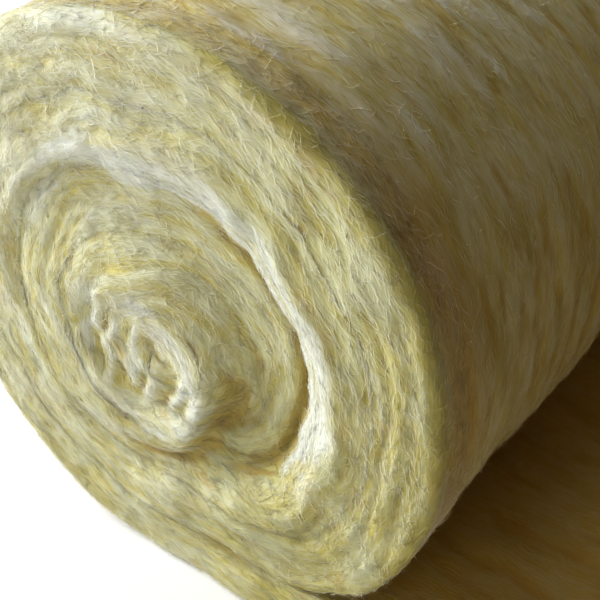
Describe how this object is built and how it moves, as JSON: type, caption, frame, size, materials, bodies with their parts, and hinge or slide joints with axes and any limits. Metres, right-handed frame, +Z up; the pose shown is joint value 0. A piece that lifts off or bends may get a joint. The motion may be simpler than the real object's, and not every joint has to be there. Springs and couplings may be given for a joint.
{
  "type": "insulation roll",
  "caption": "Thick soft wool blanket wound into a round roll that lies on its side, with the loose end rolled out flat along the floor.",
  "frame": {"origin": "on the flat underside, below the roll's axis, at the middle of the blanket's width", "axes": "+X along the floor towards the loose end of the tail, +Y along the roll's axis away from the pictured end, +Z up"},
  "size_m": [1.452, 1.2, 0.5],
  "materials": {
    "glass_wool": "matt pale yellow glass wool, long loose fibres laid along the blanket, whiter and browner streaks"
  },
  "bodies": {
    "root": {"wool_blanket": "glass_wool"}
  },
  "joints": []
}
